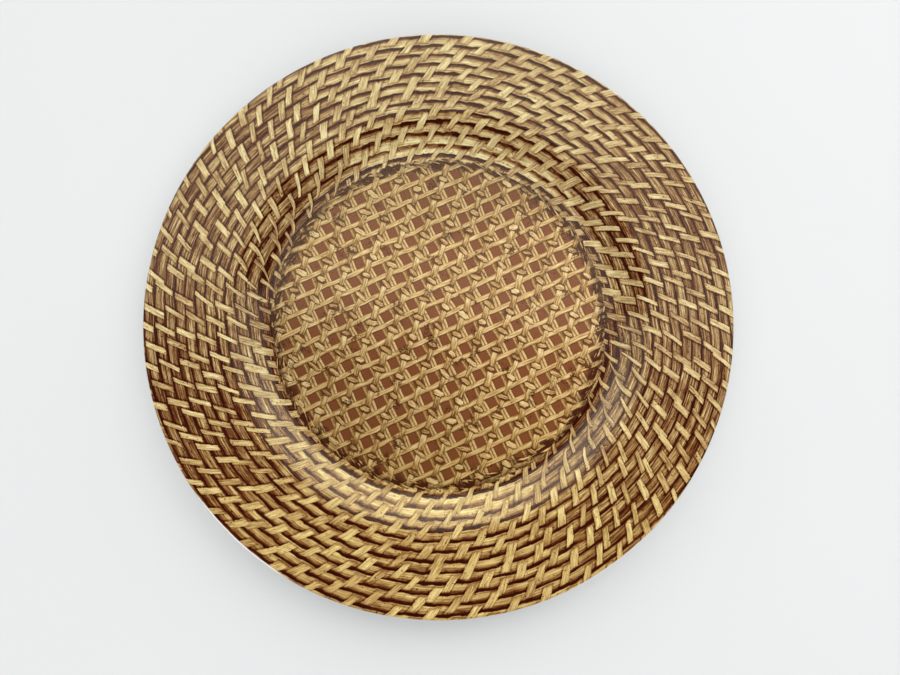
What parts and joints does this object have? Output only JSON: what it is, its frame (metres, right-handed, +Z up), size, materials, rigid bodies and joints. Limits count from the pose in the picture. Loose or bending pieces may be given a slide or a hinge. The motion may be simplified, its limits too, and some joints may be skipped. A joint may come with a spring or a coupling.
{
  "type": "charger plate",
  "caption": "Round glossy charger plate with a printed cane-weave well, a printed rattan rim, a rounded lip and a plain foot ring underneath.",
  "frame": {"origin": "centre of the plate, on the plane that the foot ring rests on", "axes": "+Z up out of the well along the plate's axis of turning, +X to the right and +Y to the top of the picture, along and across the joint of the two rim foils"},
  "size_m": [0.33, 0.33, 0.02],
  "materials": {
    "body_melamine": "glossy white moulded melamine",
    "well_print": "printed melamine foil, cane weave in tan on brown",
    "rim_print": "printed melamine foil, bound rattan rods in tan and brown",
    "clear_glaze": "clear glossy melamine glaze"
  },
  "bodies": {
    "root": {"plate_body": "body_melamine", "well_decor_foil": "well_print", "rim_decor_foil_back": "rim_print", "rim_decor_foil_front": "rim_print", "clear_glaze": "clear_glaze"}
  },
  "joints": []
}
